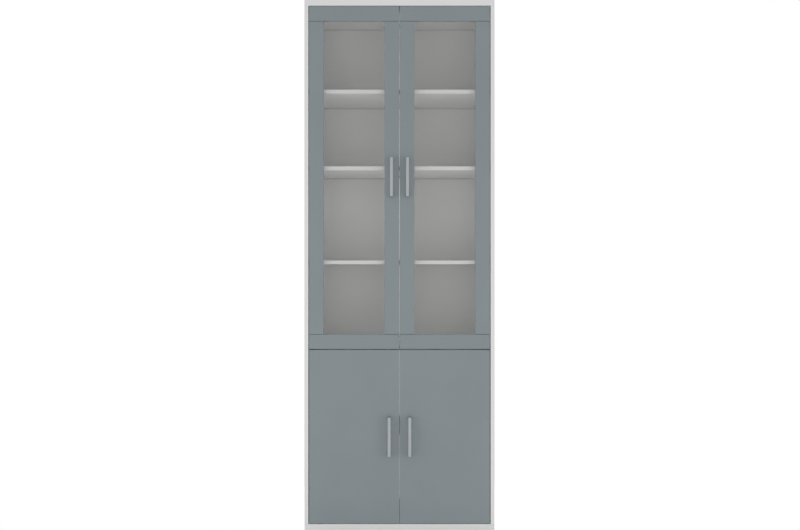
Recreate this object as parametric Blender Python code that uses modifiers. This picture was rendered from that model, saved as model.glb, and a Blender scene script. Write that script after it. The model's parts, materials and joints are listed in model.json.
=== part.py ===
"""Tall display cabinet: a white board carcass with a glazed pair of doors over a plain pair.

The doors are inset and flush, and each turns on two concealed pivot pins near its outer edge.
Metres, +Z up. The front faces -Y, and the glides stand on z = 0.
"""

import math

import bmesh
import bpy
from mathutils import Euler, Matrix, Vector

MM = 0.001

# Clearances
TOUCH = 0.3 * MM
WELD = 0.01 * MM
OVERSHOOT = 5 * MM

# Carcass
WIDTH = 790 * MM
DEPTH = 400 * MM
CARCASS_HEIGHT = 2205 * MM
SIDE_BOARD = 16 * MM
END_BOARD = 25 * MM
MIDDLE_BOARD = 16 * MM
MIDDLE_SETBACK = 24 * MM
BOARD_EDGE = 0.5 * MM
PEG_RADIUS = 4 * MM
PEG_LENGTH = 11 * MM
PEG_MARGIN = 70 * MM
PEGS_PER_JOINT = 3

# Back panel in its rebate
BACK_SHEET = 3 * MM
REBATE_WIDTH = 8 * MM
REBATE_DEPTH = 5 * MM
BACK_MARGIN = 1 * MM

# Shelves, by the clear height below each
SHELF_BOARD = 16 * MM
SHELF_SETBACK = 24 * MM
SHELF_BACK_GAP = 3 * MM
SHELF_END_GAP = 1 * MM
LOWER_BAY = 368 * MM
LOW_BAY = 346 * MM
MIDDLE_BAY = 377.5 * MM
HIGH_BAY = 304.5 * MM
SHELF_PIN_RADIUS = 2.5 * MM
SHELF_PIN_REACH = 9 * MM
SHELF_PIN_MARGIN = 64 * MM
SPARE_HOLE_PITCH = 32 * MM
SPARE_HOLE_DEPTH = 9 * MM

# Floor glides
GLIDE_HEIGHT = 5 * MM
GLIDE_RADIUS = 15 * MM
GLIDE_CHAMFER = 1.5 * MM
GLIDE_INSET = 42 * MM
GLIDE_NAIL_RADIUS = 2.5 * MM
GLIDE_NAIL_LENGTH = 14 * MM

# Doors
DOOR_BOARD = 16 * MM
DOOR_EDGE = 0.8 * MM
LOWER_DOOR_HEIGHT = 722 * MM
SIDE_GAP = 3.2 * MM
UPPER_CENTRE_GAP = 4 * MM
LOWER_CENTRE_GAP = 1.2 * MM
END_GAP = 2 * MM
SPLIT_GAP = 4 * MM
STILE_WIDTH = 60 * MM
TOP_RAIL_HEIGHT = 62 * MM
BOTTOM_RAIL_HEIGHT = 60 * MM
TENON_THICKNESS = 6 * MM
TENON_WIDTH = 28 * MM
TENON_LENGTH = 18 * MM
TENON_INSET = 14 * MM
JOINT_GROOVE_WIDTH = 1.6 * MM
JOINT_GROOVE_DEPTH = 4 * MM

# Glazing
GLASS = 4 * MM
GLASS_LIP = 6 * MM
GLASS_REBATE = 8 * MM
GLASS_MARGIN = 1.5 * MM
BEAD_RECESS = 0.5 * MM

# Pivot hinges
PIVOT_INSET = 9 * MM
PIVOT_SETBACK = 6 * MM
PIVOT_RADIUS = 2 * MM
PIVOT_REACH = 12 * MM
PIVOT_SHANK_RADIUS = 4 * MM
PIVOT_SHANK_LENGTH = 14 * MM
BLADE_WIDTH = 10 * MM
BLADE_NOSE = 3 * MM
BLADE_SEAT = 26 * MM
BUSH_WALL = 1.7 * MM
BUSH_LENGTH = 14 * MM
FLANGE_RADIUS = 5.2 * MM
FLANGE = 0.6 * MM

# Magnetic catches
CATCH_WIDTH = 46 * MM
CATCH_HEIGHT = 16 * MM
CATCH_TAIL = 14 * MM
CATCH_EDGE = 1 * MM
CATCH_PEG_INSET = 10 * MM
CATCH_PEG_RADIUS = 3 * MM
CATCH_PEG_LENGTH = 9 * MM
CATCH_PEG_SPACING = 28 * MM
STRIKE_SPREAD = 14 * MM
STRIKE_RADIUS = 5 * MM
STRIKE_PLATE = 1.2 * MM
STRIKE_SPIKE_RADIUS = 1.5 * MM
STRIKE_SPIKE_LENGTH = 8 * MM

# Bar handles
HANDLE_LENGTH = 161 * MM
HANDLE_STANDOFF = 20 * MM
BAR_WIDTH = 12 * MM
BAR_DEPTH = 12 * MM
BAR_EDGE = 0.8 * MM
LEG_HEIGHT = 12 * MM
UPPER_HANDLE_INSET = 31.2 * MM
LOWER_HANDLE_INSET = 42 * MM
LOWER_HANDLE_LIFT = 4 * MM
SCREW_RADIUS = 2 * MM
SCREW_GRIP = 9 * MM
SCREW_HEAD_RADIUS = 4 * MM
SCREW_HEAD = 2.2 * MM

# Facets of round pieces
ROUND_SIDES = 12
SMALL_SIDES = 8

# Planes worked out from the sizes above
HANDLE_REACH = HANDLE_STANDOFF + BAR_DEPTH
FRONT = (HANDLE_REACH - DEPTH) / 2
BACK = FRONT + DEPTH
INNER = WIDTH / 2 - SIDE_BOARD
BASE_TOP = GLIDE_HEIGHT + END_BOARD
TOP = GLIDE_HEIGHT + CARCASS_HEIGHT
CEILING = TOP - END_BOARD
LOWER_DOOR_LOW = BASE_TOP + END_GAP
LOWER_DOOR_TOP = LOWER_DOOR_LOW + LOWER_DOOR_HEIGHT
SPLIT = LOWER_DOOR_TOP + SPLIT_GAP / 2
UPPER_DOOR_LOW = LOWER_DOOR_TOP + SPLIT_GAP
UPPER_DOOR_TOP = CEILING - END_GAP
MIDDLE_LOW = SPLIT - MIDDLE_BOARD / 2
MIDDLE_TOP = SPLIT + MIDDLE_BOARD / 2
REBATE_FLOOR = BACK - REBATE_DEPTH
PIVOT_SPREAD = INNER - SIDE_GAP - PIVOT_INSET
BUSH_RADIUS = PIVOT_RADIUS + TOUCH + BUSH_WALL
STRIKE_BACK = DOOR_BOARD + TOUCH + STRIKE_PLATE

# The underside of each shelf
LOW_SHELF = MIDDLE_TOP + LOW_BAY
MIDDLE_SHELF = LOW_SHELF + SHELF_BOARD + MIDDLE_BAY
HIGH_SHELF = MIDDLE_SHELF + SHELF_BOARD + HIGH_BAY
SHELVES = {
    "upper_shelf_high": HIGH_SHELF,
    "upper_shelf_middle": MIDDLE_SHELF,
    "upper_shelf_low": LOW_SHELF,
    "lower_shelf": BASE_TOP + LOWER_BAY,
}

LEFT = -1
RIGHT = 1
HANDS = {"left": LEFT, "right": RIGHT}
AXES = {
    "X": (0, math.pi / 2, 0),
    "Y": (-math.pi / 2, 0, 0),
    "Z": (0, 0, 0),
    "-Z": (math.pi, 0, 0),
}


def clear_scene():
    for item in list(bpy.data.objects):
        bpy.data.objects.remove(item, do_unlink=True)


def new_collection(name):
    collection = bpy.data.collections.new(name)
    bpy.context.scene.collection.children.link(collection)
    return collection


def finish(name, colour, roughness, metallic=0.0, alpha=1.0):
    material = bpy.data.materials.new(name)
    material.use_nodes = True
    shader = material.node_tree.nodes["Principled BSDF"]
    shader.inputs["Base Color"].default_value = (*colour, 1.0)
    shader.inputs["Roughness"].default_value = roughness
    shader.inputs["Metallic"].default_value = metallic
    shader.inputs["Alpha"].default_value = alpha
    return material


clear_scene()
CABINET = new_collection("display_cabinet")
CUTTERS = new_collection("cutters")
WHITE_BOARD = finish("white_board", (0.80, 0.80, 0.79), 0.45)
WHITE_SHEET = finish("white_sheet", (0.72, 0.72, 0.71), 0.55)
BLUE_GREY = finish("blue_grey_paint", (0.23, 0.262, 0.275), 0.42)
CLEAR_GLASS = finish("clear_glass", (0.95, 0.97, 0.97), 0.03, alpha=0.2)
BEAD_PLASTIC = finish("bead_plastic", (0.24, 0.27, 0.28), 0.5)
SATIN_NICKEL = finish("satin_nickel", (0.66, 0.67, 0.67), 0.3, metallic=1.0)
STEEL = finish("steel", (0.55, 0.56, 0.57), 0.35, metallic=1.0)
BLACK_STEEL = finish("black_steel", (0.07, 0.07, 0.075), 0.4, metallic=1.0)
NYLON = finish("nylon", (0.10, 0.10, 0.105), 0.5)
GLIDE_PLASTIC = finish("glide_plastic", (0.09, 0.09, 0.09), 0.55)
CATCH_PLASTIC = finish("catch_plastic", (0.70, 0.70, 0.69), 0.5)


def place(name, mesh, material, parent=None, at=(0, 0, 0), axis="Z"):
    """Put a mesh in the cabinet as a named piece."""
    piece = bpy.data.objects.new(name, mesh)
    CABINET.objects.link(piece)
    if material:
        mesh.materials.append(material)
    piece.parent = parent
    piece.location = at
    piece.rotation_euler = AXES[axis]
    return piece


def as_cutter(piece):
    """Set a piece aside as a tool that only shapes others."""
    CABINET.objects.unlink(piece)
    CUTTERS.objects.link(piece)
    piece.hide_render = True
    piece.display_type = "WIRE"
    return piece


def mesh_from(name, bm):
    mesh = bpy.data.meshes.new(name)
    bm.to_mesh(mesh)
    bm.free()
    return mesh


def shade_round(mesh):
    mesh.shade_smooth()
    mesh.set_sharp_from_angle(angle=math.radians(50))


def chamfer(piece, width):
    bevel = piece.modifiers.new("eased_edges", "BEVEL")
    bevel.width = width
    bevel.segments = 1
    bevel.limit_method = "ANGLE"
    bevel.angle_limit = math.radians(60)


def block(name, corner, opposite, material=None, parent=None, edge=0.0):
    """A board or block between two opposite corners, its edges eased by a small chamfer."""
    low = Vector(map(min, corner, opposite))
    high = Vector(map(max, corner, opposite))
    bm = bmesh.new()
    bmesh.ops.create_cube(bm, size=1.0, matrix=Matrix.Diagonal((*(high - low), 1.0)))
    piece = place(name, mesh_from(name, bm), material, parent, (low + high) / 2)
    if edge:
        chamfer(piece, edge)
    return piece


def rods(name, starts, axis, length, radius, sides, material=None, parent=None):
    """Parallel round rods, each from its start point along +axis, in one mesh."""
    lay = Euler(AXES[axis]).to_matrix().to_4x4()
    bm = bmesh.new()
    for start in starts:
        middle = Matrix.Translation(start) @ lay @ Matrix.Translation((0, 0, length / 2))
        bmesh.ops.create_cone(
            bm,
            cap_ends=True,
            segments=sides,
            radius1=radius,
            radius2=radius,
            depth=length,
            matrix=middle,
        )
    mesh = mesh_from(name, bm)
    shade_round(mesh)
    return place(name, mesh, material, parent)


def turned(name, profile, sides, material, parent=None, at=(0, 0, 0), axis="Z", ring=False):
    """A turned piece. Its profile of (radius, height) points runs from the top down its outer side."""
    bm = bmesh.new()
    points = [bm.verts.new((radius, 0.0, height)) for radius, height in profile]
    for pair in zip(points, points[1:]):
        bm.edges.new(pair)
    if ring:
        bm.edges.new((points[-1], points[0]))
    piece = place(name, mesh_from(name, bm), material, parent, at, axis)
    screw = piece.modifiers.new("turned", "SCREW")
    screw.steps = sides
    screw.render_steps = sides
    screw.use_merge_vertices = True
    screw.merge_threshold = WELD
    graph = bpy.context.evaluated_depsgraph_get()
    piece.data = bpy.data.meshes.new_from_object(piece.evaluated_get(graph))
    piece.modifiers.remove(screw)
    shade_round(piece.data)
    return piece


def boolean(piece, tool, operation):
    step = piece.modifiers.new(tool.name, "BOOLEAN")
    step.operation = operation
    step.solver = "EXACT"
    step.object = tool


def cut(piece, tool):
    boolean(piece, tool, "DIFFERENCE")


def join(piece, tool):
    boolean(piece, tool, "UNION")


def drill(piece, mouths, axis, depth, radius, sides=SMALL_SIDES):
    """Round holes into a piece from mouth points. A negative depth bores against the axis."""
    index = "XYZ".index(axis)
    starts = []
    for mouth in mouths:
        start = Vector(mouth)
        start[index] += depth if depth < 0 else -OVERSHOOT
        starts.append(start)
    length = abs(depth) + OVERSHOOT
    name = f"{piece.name}_holes_{len(piece.modifiers)}"
    cut(piece, as_cutter(rods(name, starts, axis, length, radius, sides, parent=piece.parent)))


def row(margin):
    """Depths of the pegs along a carcass joint, spread evenly between the margins."""
    first = FRONT + margin
    step = (DEPTH - 2 * margin) / (PEGS_PER_JOINT - 1)
    return [first + step * index for index in range(PEGS_PER_JOINT)]


def shelf_pin_spots():
    """(depth, height) of every shelf pin's axis on a side board."""
    rows = (FRONT + SHELF_PIN_MARGIN, BACK - SHELF_PIN_MARGIN)
    drop = TOUCH + SHELF_PIN_RADIUS
    return [(depth, underside - drop) for underside in SHELVES.values() for depth in rows]


def make_side(word, hand, back_recess):
    """A side board, with the pegs of its end joints and the shelf pins that stand in it."""
    inner_face = hand * INNER
    side = block(
        f"{word}_side",
        (inner_face, FRONT, BASE_TOP + TOUCH),
        (hand * WIDTH / 2, BACK, CEILING - TOUCH),
        WHITE_BOARD,
        edge=BOARD_EDGE,
    )
    cut(side, back_recess)
    middle = hand * (INNER + SIDE_BOARD / 2)
    low_pegs = [(middle, depth, BASE_TOP - PEG_LENGTH) for depth in row(PEG_MARGIN)]
    high_pegs = [(middle, depth, CEILING - PEG_LENGTH) for depth in row(PEG_MARGIN)]
    pegs = rods(
        f"{word}_side_pegs",
        low_pegs + high_pegs,
        "Z",
        2 * PEG_LENGTH,
        PEG_RADIUS,
        SMALL_SIDES,
    )
    join(side, as_cutter(pegs))
    spots = shelf_pin_spots()
    spare = []
    for depth, height in spots:
        for shift in (-SPARE_HOLE_PITCH, SPARE_HOLE_PITCH):
            spare.append((inner_face, depth, height + shift))
    drill(side, spare, "X", hand * SPARE_HOLE_DEPTH, SHELF_PIN_RADIUS)
    joint = [(inner_face, depth, SPLIT) for depth in row(PEG_MARGIN)]
    drill(side, joint, "X", hand * (PEG_LENGTH + TOUCH), PEG_RADIUS + TOUCH)
    pin_length = SHELF_PIN_REACH + SIDE_BOARD / 2
    pin_start = inner_face - SHELF_PIN_REACH if hand == RIGHT else inner_face - SIDE_BOARD / 2
    pins = rods(
        f"{word}_shelf_pins",
        [(pin_start, depth, height) for depth, height in spots],
        "X",
        pin_length,
        SHELF_PIN_RADIUS,
        SMALL_SIDES,
    )
    join(side, as_cutter(pins))


def peg_mouths(height):
    """Mouths of the peg holes in a top or bottom board, over both side boards."""
    middle = INNER + SIDE_BOARD / 2
    return [(hand * middle, depth, height) for hand in HANDS.values() for depth in row(PEG_MARGIN)]


def pivot_mouths(height):
    """Mouths of the pivot pins' seats in a top or bottom board."""
    return [(hand * PIVOT_SPREAD, FRONT + PIVOT_SETBACK, height) for hand in HANDS.values()]


def catch_mouths(height):
    """Mouths of the catch pegs' seats under a board."""
    depth = FRONT + MIDDLE_SETBACK + CATCH_PEG_INSET
    return [(side * CATCH_PEG_SPACING / 2, depth, height) for side in (LEFT, RIGHT)]


def glide_spots():
    across = WIDTH / 2 - GLIDE_INSET
    rows = {"front": FRONT + GLIDE_INSET, "back": BACK - GLIDE_INSET}
    return {
        f"{row_word}_{word}_glide": (hand * across, depth)
        for row_word, depth in rows.items()
        for word, hand in HANDS.items()
    }


def make_end_boards(back_recess):
    """The top and bottom boards, which run the full width over and under the sides."""
    reach = WIDTH / 2
    top = block("top_board", (-reach, FRONT, CEILING), (reach, BACK, TOP), WHITE_BOARD, edge=BOARD_EDGE)
    cut(top, back_recess)
    drill(top, peg_mouths(CEILING), "Z", PEG_LENGTH + TOUCH, PEG_RADIUS + TOUCH)
    seat_radius = PIVOT_SHANK_RADIUS + TOUCH
    seat_depth = PIVOT_SHANK_LENGTH + TOUCH
    drill(top, pivot_mouths(CEILING), "Z", seat_depth, seat_radius, ROUND_SIDES)
    drill(top, catch_mouths(CEILING), "Z", CATCH_PEG_LENGTH + TOUCH, CATCH_PEG_RADIUS + TOUCH)

    base = block(
        "bottom_board",
        (-reach, FRONT, GLIDE_HEIGHT),
        (reach, BACK, BASE_TOP),
        WHITE_BOARD,
        edge=BOARD_EDGE,
    )
    cut(base, back_recess)
    drill(base, peg_mouths(BASE_TOP), "Z", -(PEG_LENGTH + TOUCH), PEG_RADIUS + TOUCH)
    drill(base, pivot_mouths(BASE_TOP), "Z", -seat_depth, seat_radius, ROUND_SIDES)
    nail_holes = [(across, depth, GLIDE_HEIGHT) for across, depth in glide_spots().values()]
    drill(base, nail_holes, "Z", GLIDE_NAIL_LENGTH + TOUCH, GLIDE_NAIL_RADIUS + TOUCH)


def make_middle_board():
    """The fixed board behind the split, pegged to the sides, with slots for the pivot blades."""
    reach = INNER - TOUCH
    board = block(
        "middle_board",
        (-reach, FRONT + MIDDLE_SETBACK, MIDDLE_LOW),
        (reach, REBATE_FLOOR, MIDDLE_TOP),
        WHITE_BOARD,
        edge=BOARD_EDGE,
    )
    for word, hand in HANDS.items():
        start = INNER - PEG_LENGTH if hand == RIGHT else -INNER - PEG_LENGTH
        pegs = rods(
            f"middle_board_{word}_pegs",
            [(start, depth, SPLIT) for depth in row(PEG_MARGIN)],
            "X",
            2 * PEG_LENGTH,
            PEG_RADIUS,
            SMALL_SIDES,
        )
        join(board, as_cutter(pegs))
        pivot = hand * PIVOT_SPREAD
        half = BLADE_WIDTH / 2 + TOUCH
        half_slot = blade_thickness() / 2 + TOUCH
        front_edge = FRONT + MIDDLE_SETBACK
        slot = block(
            f"{word}_blade_slot",
            (pivot - half, front_edge - OVERSHOOT, SPLIT - half_slot),
            (pivot + half, front_edge + BLADE_SEAT + TOUCH, SPLIT + half_slot),
        )
        cut(board, as_cutter(slot))
    drill(board, catch_mouths(MIDDLE_LOW), "Z", CATCH_PEG_LENGTH + TOUCH, CATCH_PEG_RADIUS + TOUCH)


def make_shelves():
    for name, underside in SHELVES.items():
        reach = INNER - SHELF_END_GAP
        block(
            name,
            (-reach, FRONT + SHELF_SETBACK, underside),
            (reach, REBATE_FLOOR - SHELF_BACK_GAP, underside + SHELF_BOARD),
            WHITE_BOARD,
            edge=BOARD_EDGE,
        )


def make_back_panel():
    reach = INNER + REBATE_WIDTH - BACK_MARGIN
    seat = REBATE_FLOOR + TOUCH
    block(
        "back_panel",
        (-reach, seat, BASE_TOP - REBATE_WIDTH + BACK_MARGIN),
        (reach, seat + BACK_SHEET, CEILING + REBATE_WIDTH - BACK_MARGIN),
        WHITE_SHEET,
    )


def make_glides():
    top = GLIDE_HEIGHT - TOUCH
    profile = [
        (0, top + GLIDE_NAIL_LENGTH),
        (GLIDE_NAIL_RADIUS, top + GLIDE_NAIL_LENGTH),
        (GLIDE_NAIL_RADIUS, top),
        (GLIDE_RADIUS, top),
        (GLIDE_RADIUS, GLIDE_CHAMFER),
        (GLIDE_RADIUS - GLIDE_CHAMFER, 0),
        (0, 0),
    ]
    for name, (across, depth) in glide_spots().items():
        turned(name, profile, ROUND_SIDES, GLIDE_PLASTIC, at=(across, depth, 0))


def blade_thickness():
    """What the split leaves for a blade between the bush flanges of the two doors."""
    return SPLIT_GAP - 2 * (FLANGE + 2 * TOUCH)


def make_end_pivot(name, hand, seat, axis):
    """A pin driven into a top or bottom board, whose shoulder bears on the door's bush."""
    shoulder = END_GAP - FLANGE - 2 * TOUCH
    profile = [
        (0, shoulder + PIVOT_REACH),
        (PIVOT_RADIUS, shoulder + PIVOT_REACH),
        (PIVOT_RADIUS, shoulder),
        (PIVOT_SHANK_RADIUS, shoulder),
        (PIVOT_SHANK_RADIUS, -PIVOT_SHANK_LENGTH),
        (0, -PIVOT_SHANK_LENGTH),
    ]
    mouth = (hand * PIVOT_SPREAD, FRONT + PIVOT_SETBACK, seat)
    turned(name, profile, ROUND_SIDES, BLACK_STEEL, at=mouth, axis=axis)


def make_middle_pivot(word, hand):
    """A blade driven into the middle board's edge, with a pin for the door above and the one below."""
    pivot = hand * PIVOT_SPREAD
    half = blade_thickness() / 2
    blade = block(
        f"{word}_middle_pivot",
        (pivot - BLADE_WIDTH / 2, FRONT + PIVOT_SETBACK - BLADE_NOSE, SPLIT - half),
        (pivot + BLADE_WIDTH / 2, FRONT + MIDDLE_SETBACK + BLADE_SEAT, SPLIT + half),
        BLACK_STEEL,
    )
    length = 2 * (half + PIVOT_REACH)
    start = (pivot, FRONT + PIVOT_SETBACK, SPLIT - length / 2)
    pins = rods(f"{word}_middle_pins", [start], "Z", length, PIVOT_RADIUS, ROUND_SIDES)
    join(blade, as_cutter(pins))


def make_catch(name, underside):
    """A push-in catch under a board, facing the strike discs of a pair of doors."""
    face = FRONT + STRIKE_BACK + TOUCH
    tail = FRONT + MIDDLE_SETBACK + CATCH_PEG_INSET + CATCH_TAIL
    top = underside - TOUCH
    housing = block(
        name,
        (-CATCH_WIDTH / 2, face, top - CATCH_HEIGHT),
        (CATCH_WIDTH / 2, tail, top),
        CATCH_PLASTIC,
        edge=CATCH_EDGE,
    )
    starts = [(across, depth, top - CATCH_HEIGHT / 2) for across, depth, _ in catch_mouths(underside)]
    length = CATCH_HEIGHT / 2 + TOUCH + CATCH_PEG_LENGTH
    pegs = rods(f"{name}_pegs", starts, "Z", length, CATCH_PEG_RADIUS, SMALL_SIDES)
    join(housing, as_cutter(pegs))


class Door:
    """A door leaf, built about an empty on its pivot axis.

    Distances run from the outer edge towards the meeting edge, and depths from the front face back.
    """

    def __init__(self, name, hand, low, top, centre_gap):
        self.name = name
        self.hand = hand
        self.low = low
        self.top = top
        self.width = INNER - SIDE_GAP - centre_gap / 2
        self.axis = bpy.data.objects.new(f"{name}_axis", None)
        CABINET.objects.link(self.axis)
        self.axis.location = (hand * PIVOT_SPREAD, FRONT + PIVOT_SETBACK, 0)

    def point(self, distance, depth, height):
        """A point of the leaf, measured from the pivot axis."""
        return Vector((self.hand * (PIVOT_INSET - distance), depth - PIVOT_SETBACK, height))

    def board(self, name, start, end, low, high, edge=DOOR_EDGE):
        return block(
            f"{self.name}_{name}",
            self.point(start, 0, low),
            self.point(end, DOOR_BOARD, high),
            BLUE_GREY,
            self.axis,
            edge,
        )

    def add_bush(self, board, word, edge, axis):
        """A flanged bush in the top or bottom edge of the leaf, round its pivot pin."""
        bore = PIVOT_RADIUS + TOUCH
        profile = [
            (bore, TOUCH + FLANGE),
            (FLANGE_RADIUS, TOUCH + FLANGE),
            (FLANGE_RADIUS, TOUCH),
            (BUSH_RADIUS, TOUCH),
            (BUSH_RADIUS, -BUSH_LENGTH),
            (bore, -BUSH_LENGTH),
        ]
        seat = self.point(PIVOT_INSET, PIVOT_SETBACK, edge)
        name = f"{self.name}_{word}_bush"
        turned(name, profile, ROUND_SIDES, NYLON, self.axis, seat, axis, ring=True)
        depth = BUSH_LENGTH + TOUCH
        inward = -depth if axis == "Z" else depth
        drill(board, [seat], "Z", inward, BUSH_RADIUS + TOUCH, ROUND_SIDES)

    def add_strike(self, board, height):
        """A strike disc on the back of the leaf, its spike driven into the board."""
        profile = [
            (0, TOUCH + STRIKE_PLATE),
            (STRIKE_RADIUS, TOUCH + STRIKE_PLATE),
            (STRIKE_RADIUS, TOUCH),
            (STRIKE_SPIKE_RADIUS, TOUCH),
            (STRIKE_SPIKE_RADIUS, -STRIKE_SPIKE_LENGTH),
            (0, -STRIKE_SPIKE_LENGTH),
        ]
        seat = self.point(INNER - SIDE_GAP - STRIKE_SPREAD, DOOR_BOARD, height)
        turned(f"{self.name}_strike", profile, ROUND_SIDES, STEEL, self.axis, seat, "Y")
        drill(board, [seat], "Y", -(STRIKE_SPIKE_LENGTH + TOUCH), STRIKE_SPIKE_RADIUS + TOUCH)

    def add_handle(self, board, inset, lift=0.0):
        """A square bar with a leg at each end, about mid height, held by screws from the back of the leaf."""
        centre = (self.low + self.top) / 2 + lift
        distance = self.width - inset
        low = centre - HANDLE_LENGTH / 2
        high = centre + HANDLE_LENGTH / 2
        handle = block(
            f"{self.name}_handle",
            self.point(distance - BAR_WIDTH / 2, -HANDLE_REACH, low),
            self.point(distance + BAR_WIDTH / 2, -TOUCH, high),
            SATIN_NICKEL,
            self.axis,
            BAR_EDGE,
        )
        grip = block(
            f"{handle.name}_grip",
            self.point(distance - BAR_WIDTH, -HANDLE_STANDOFF, low + LEG_HEIGHT),
            self.point(distance + BAR_WIDTH, OVERSHOOT, high - LEG_HEIGHT),
            parent=self.axis,
        )
        cut(handle, as_cutter(grip))
        heights = {"high": high - LEG_HEIGHT / 2, "low": low + LEG_HEIGHT / 2}
        feet = [self.point(distance, -TOUCH, height) for height in heights.values()]
        drill(handle, feet, "Y", -(SCREW_GRIP + TOUCH), SCREW_RADIUS + TOUCH)
        seats = [self.point(distance, DOOR_BOARD, height) for height in heights.values()]
        drill(board, seats, "Y", -(DOOR_BOARD + OVERSHOOT), SCREW_RADIUS + TOUCH)
        head = TOUCH + SCREW_HEAD
        profile = [
            (0, head),
            (SCREW_HEAD_RADIUS, head),
            (SCREW_HEAD_RADIUS, TOUCH),
            (SCREW_RADIUS, TOUCH),
            (SCREW_RADIUS, -DOOR_BOARD - SCREW_GRIP),
            (0, -DOOR_BOARD - SCREW_GRIP),
        ]
        for word, seat in zip(heights, seats):
            screw_name = f"{self.name}_handle_screw_{word}"
            turned(screw_name, profile, SMALL_SIDES, STEEL, self.axis, seat, "Y")


def make_lower_door(word, hand):
    door = Door(f"lower_{word}", hand, LOWER_DOOR_LOW, LOWER_DOOR_TOP, LOWER_CENTRE_GAP)
    panel = door.board("panel", 0, door.width, door.low, door.top)
    door.add_bush(panel, "top", door.top, "Z")
    door.add_bush(panel, "bottom", door.low, "-Z")
    door.add_strike(panel, MIDDLE_LOW - TOUCH - CATCH_HEIGHT / 2)
    door.add_handle(panel, LOWER_HANDLE_INSET, LOWER_HANDLE_LIFT)


def make_stile(door, name, start, tenon_start, glazing_recess):
    """An upright of a glazed door, with a stub tenon into each rail and a groove along each joint."""
    low = door.low + BOTTOM_RAIL_HEIGHT + TOUCH
    high = door.top - TOP_RAIL_HEIGHT - TOUCH
    stile = door.board(name, start, start + STILE_WIDTH, low, high)
    front = (DOOR_BOARD - TENON_THICKNESS) / 2
    tenon = block(
        f"{stile.name}_tenon",
        door.point(tenon_start, front, low - TENON_LENGTH),
        door.point(tenon_start + TENON_WIDTH, front + TENON_THICKNESS, high + TENON_LENGTH),
        parent=door.axis,
    )
    join(stile, as_cutter(tenon))
    cut(stile, glazing_recess)
    grooves = {
        "low": (low - OVERSHOOT, low + JOINT_GROOVE_WIDTH),
        "high": (high - JOINT_GROOVE_WIDTH, high + OVERSHOOT),
    }
    for word, (bottom, top) in grooves.items():
        groove = block(
            f"{stile.name}_{word}_groove",
            door.point(start - OVERSHOOT, -OVERSHOOT, bottom),
            door.point(start + STILE_WIDTH + OVERSHOOT, JOINT_GROOVE_DEPTH, top),
            parent=door.axis,
        )
        cut(stile, as_cutter(groove))
    return stile


def make_rail(door, name, low, high, tenon_starts, glazing_recess):
    """A cross piece of a glazed door, the full width of the leaf, with the stiles' mortises."""
    rail = door.board(name, 0, door.width, low, high)
    front = (DOOR_BOARD - TENON_THICKNESS) / 2 - TOUCH
    back = front + TENON_THICKNESS + 2 * TOUCH
    stile_low = door.low + BOTTOM_RAIL_HEIGHT - TENON_LENGTH
    stile_high = door.top - TOP_RAIL_HEIGHT + TENON_LENGTH
    for index, tenon_start in enumerate(tenon_starts):
        mortise = block(
            f"{rail.name}_mortise_{index}",
            door.point(tenon_start - TOUCH, front, stile_low - TOUCH),
            door.point(tenon_start + TENON_WIDTH + TOUCH, back, stile_high + TOUCH),
            parent=door.axis,
        )
        cut(rail, as_cutter(mortise))
    cut(rail, glazing_recess)
    return rail


def make_pane(door, opening):
    """The glass behind the front lip, and the one-piece bead ring that holds it from behind."""
    start, end, low, high = opening
    glass_grow = GLASS_REBATE - GLASS_MARGIN
    glass_front = GLASS_LIP + TOUCH
    block(
        f"{door.name}_glass",
        door.point(start - glass_grow, glass_front, low - glass_grow),
        door.point(end + glass_grow, glass_front + GLASS, high + glass_grow),
        CLEAR_GLASS,
        door.axis,
    )
    bead_grow = GLASS_REBATE - TOUCH
    bead_front = glass_front + GLASS + TOUCH
    bead = block(
        f"{door.name}_glazing_bead",
        door.point(start - bead_grow, bead_front, low - bead_grow),
        door.point(end + bead_grow, DOOR_BOARD - BEAD_RECESS, high + bead_grow),
        BEAD_PLASTIC,
        door.axis,
    )
    sight = block(
        f"{door.name}_sight_opening",
        door.point(start, -OVERSHOOT, low),
        door.point(end, DOOR_BOARD + OVERSHOOT, high),
        parent=door.axis,
    )
    cut(bead, as_cutter(sight))


def make_upper_door(word, hand):
    door = Door(f"upper_{word}", hand, UPPER_DOOR_LOW, UPPER_DOOR_TOP, UPPER_CENTRE_GAP)
    start = STILE_WIDTH
    end = door.width - STILE_WIDTH
    low = door.low + BOTTOM_RAIL_HEIGHT
    high = door.top - TOP_RAIL_HEIGHT
    recess = block(
        f"{door.name}_glazing_recess",
        door.point(start - GLASS_REBATE, GLASS_LIP, low - GLASS_REBATE),
        door.point(end + GLASS_REBATE, DOOR_BOARD + OVERSHOOT, high + GLASS_REBATE),
        parent=door.axis,
    )
    as_cutter(recess)
    tenons = (TENON_INSET, door.width - TENON_INSET - TENON_WIDTH)
    top_rail = make_rail(door, "top_rail", high, door.top, tenons, recess)
    bottom_rail = make_rail(door, "bottom_rail", door.low, low, tenons, recess)
    make_stile(door, "hinge_stile", 0, tenons[0], recess)
    meeting_stile = make_stile(door, "meeting_stile", end, tenons[1], recess)
    make_pane(door, (start, end, low, high))
    door.add_bush(top_rail, "top", door.top, "Z")
    door.add_bush(bottom_rail, "bottom", door.low, "-Z")
    door.add_strike(top_rail, CEILING - TOUCH - CATCH_HEIGHT / 2)
    door.add_handle(meeting_stile, UPPER_HANDLE_INSET)


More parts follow.
